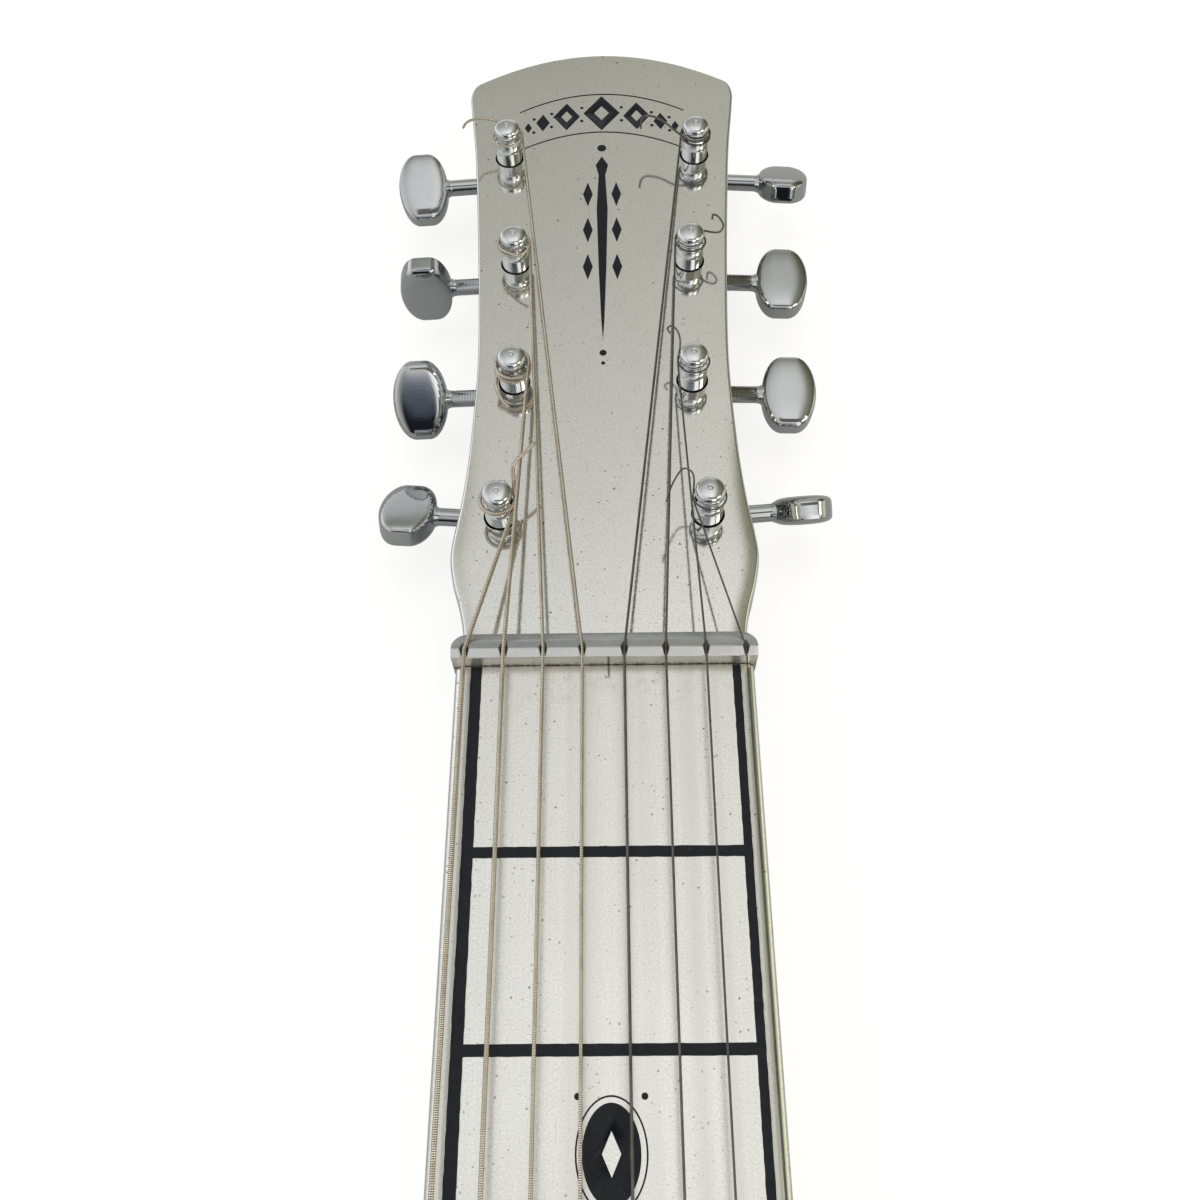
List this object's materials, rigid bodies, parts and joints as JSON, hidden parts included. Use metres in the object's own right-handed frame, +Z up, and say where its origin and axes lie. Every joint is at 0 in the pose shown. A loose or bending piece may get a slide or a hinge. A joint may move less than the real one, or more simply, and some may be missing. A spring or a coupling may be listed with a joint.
{
  "type": "lap steel guitar",
  "caption": "Cast aluminium lap steel guitar with a round hollow body, screwed pickup and bridge, worm-geared tuners on a narrow-waisted head and wound and plain strings.",
  "frame": {"origin": "middle of the guitar's bounding box, on the surface that its back lies on", "axes": "+Y along the strings from the round body to the head, +X to the treble strings' side, +Z up"},
  "size_m": [0.23, 0.8492, 0.0536],
  "materials": {
    "casting": "satin cast aluminium, worn",
    "nut_metal": "bright satin",
    "chrome": "polished chrome",
    "steel": "dull steel",
    "plain_wire": "plain steel wire, tarnished",
    "wound_wire": "nickel-wound wire",
    "black_plastic": "black bakelite",
    "brass": "turned brass",
    "copper": "enamelled copper wire",
    "cover": "plain sheet",
    "capacitor": "wax-dipped"
  },
  "bodies": {
    "guitar": {"body_casting": "casting", "nut": "nut_metal", "tuner_housing_left_1": "steel", "tuner_housing_left_2": "steel", "tuner_housing_left_3": "steel", "tuner_housing_left_4": "steel", "tuner_housing_right_1": "steel", "tuner_housing_right_2": "steel", "tuner_housing_right_3": "steel", "tuner_housing_right_4": "steel", "string_8": "wound_wire", "string_7": "wound_wire", "string_6": "wound_wire", "string_5": "wound_wire", "string_4": "plain_wire", "string_3": "plain_wire", "string_2": "plain_wire", "string_1": "plain_wire", "pickup_frame": "chrome", "pickup_bobbin": "black_plastic", "pickup_coil": "copper", "pickup_blade": "steel", "pickup_magnet": "steel", "pickup_screw_1": "steel", "pickup_screw_2": "steel", "bridge_plate": "chrome", "bridge_saddle": "steel", "bridge_plate_screw_1": "steel", "bridge_plate_screw_2": "steel", "bridge_plate_screw_3": "steel", "bridge_plate_screw_4": "steel", "volume_pot": "steel", "tone_pot": "steel", "tone_capacitor": "capacitor", "output_jack": "steel", "jack_nut": "chrome", "back_cover": "cover", "back_cover_screw_1": "steel", "back_cover_screw_2": "steel", "back_cover_screw_3": "steel"},
    "key_left_1": {"tuner_key_left_1": "chrome"},
    "post_left_1": {"tuner_post_left_1": "chrome"},
    "key_left_2": {"tuner_key_left_2": "chrome"},
    "post_left_2": {"tuner_post_left_2": "chrome"},
    "key_left_3": {"tuner_key_left_3": "chrome"},
    "post_left_3": {"tuner_post_left_3": "chrome"},
    "key_left_4": {"tuner_key_left_4": "chrome"},
    "post_left_4": {"tuner_post_left_4": "chrome"},
    "key_right_1": {"tuner_key_right_1": "chrome"},
    "post_right_1": {"tuner_post_right_1": "chrome"},
    "key_right_2": {"tuner_key_right_2": "chrome"},
    "post_right_2": {"tuner_post_right_2": "chrome"},
    "key_right_3": {"tuner_key_right_3": "chrome"},
    "post_right_3": {"tuner_post_right_3": "chrome"},
    "key_right_4": {"tuner_key_right_4": "chrome"},
    "post_right_4": {"tuner_post_right_4": "chrome"},
    "volume_control": {"volume_knob": "black_plastic", "volume_shaft": "brass"},
    "tone_control": {"tone_knob": "black_plastic", "tone_shaft": "brass"}
  },
  "joints": [
    {"name": "key_turn_left_1", "type": "hinge", "parent": "guitar", "child": "key_left_1", "pos_m": [-0.02323, 0.39737, 0.0148], "axis": [-0.9969, -0.0785, 0], "continuous": true},
    {"name": "post_turn_left_1", "type": "hinge", "parent": "guitar", "child": "post_left_1", "pos_m": [-0.0225, 0.3881, 0.035], "axis": [0, 0, 1], "continuous": true},
    {"name": "key_turn_left_2", "type": "hinge", "parent": "guitar", "child": "key_left_2", "pos_m": [-0.02049, 0.36329, 0.0148], "axis": [-0.9986, -0.0523, 0], "continuous": true},
    {"name": "post_turn_left_2", "type": "hinge", "parent": "guitar", "child": "post_left_2", "pos_m": [-0.02, 0.354, 0.035], "axis": [0, 0, 1], "continuous": true},
    {"name": "key_turn_left_3", "type": "hinge", "parent": "guitar", "child": "key_left_3", "pos_m": [-0.01972, 0.32899, 0.0148], "axis": [-0.9994, -0.0349, 0], "continuous": true},
    {"name": "post_turn_left_3", "type": "hinge", "parent": "guitar", "child": "post_left_3", "pos_m": [-0.0194, 0.3197, 0.035], "axis": [0, 0, 1], "continuous": true},
    {"name": "key_turn_left_4", "type": "hinge", "parent": "guitar", "child": "key_left_4", "pos_m": [-0.02057, 0.29487, 0.0148], "axis": [-0.9969, 0.0785, 0], "continuous": true},
    {"name": "post_turn_left_4", "type": "hinge", "parent": "guitar", "child": "post_left_4", "pos_m": [-0.0213, 0.2856, 0.035], "axis": [0, 0, 1], "continuous": true},
    {"name": "key_turn_right_1", "type": "hinge", "parent": "guitar", "child": "key_right_1", "pos_m": [0.02323, 0.39737, 0.0148], "axis": [0.9969, -0.0785, 0], "continuous": true},
    {"name": "post_turn_right_1", "type": "hinge", "parent": "guitar", "child": "post_right_1", "pos_m": [0.0225, 0.3881, 0.035], "axis": [0, 0, 1], "continuous": true},
    {"name": "key_turn_right_2", "type": "hinge", "parent": "guitar", "child": "key_right_2", "pos_m": [0.02049, 0.36329, 0.0148], "axis": [0.9986, -0.0523, 0], "continuous": true},
    {"name": "post_turn_right_2", "type": "hinge", "parent": "guitar", "child": "post_right_2", "pos_m": [0.02, 0.354, 0.035], "axis": [0, 0, 1], "continuous": true},
    {"name": "key_turn_right_3", "type": "hinge", "parent": "guitar", "child": "key_right_3", "pos_m": [0.01972, 0.32899, 0.0148], "axis": [0.9994, -0.0349, 0], "continuous": true},
    {"name": "post_turn_right_3", "type": "hinge", "parent": "guitar", "child": "post_right_3", "pos_m": [0.0194, 0.3197, 0.035], "axis": [0, 0, 1], "continuous": true},
    {"name": "key_turn_right_4", "type": "hinge", "parent": "guitar", "child": "key_right_4", "pos_m": [0.02057, 0.29487, 0.0148], "axis": [0.9969, 0.0785, 0], "continuous": true},
    {"name": "post_turn_right_4", "type": "hinge", "parent": "guitar", "child": "post_right_4", "pos_m": [0.0213, 0.2856, 0.035], "axis": [0, 0, 1], "continuous": true},
    {"name": "volume_turn", "type": "hinge", "parent": "guitar", "child": "volume_control", "pos_m": [0.076, -0.3436, 0.04], "axis": [0, 0, 1], "range_deg": [-30, 270]},
    {"name": "tone_turn", "type": "hinge", "parent": "guitar", "child": "tone_control", "pos_m": [0.076, -0.2916, 0.04], "axis": [0, 0, 1], "range_deg": [-30, 270]}
  ],
  "couplings": [
    {"joint": "post_turn_left_1", "follows": "key_turn_left_1", "ratio": 0.066667},
    {"joint": "post_turn_left_2", "follows": "key_turn_left_2", "ratio": 0.066667},
    {"joint": "post_turn_left_3", "follows": "key_turn_left_3", "ratio": 0.066667},
    {"joint": "post_turn_left_4", "follows": "key_turn_left_4", "ratio": 0.066667},
    {"joint": "post_turn_right_1", "follows": "key_turn_right_1", "ratio": 0.066667},
    {"joint": "post_turn_right_2", "follows": "key_turn_right_2", "ratio": 0.066667},
    {"joint": "post_turn_right_3", "follows": "key_turn_right_3", "ratio": 0.066667},
    {"joint": "post_turn_right_4", "follows": "key_turn_right_4", "ratio": 0.066667}
  ]
}
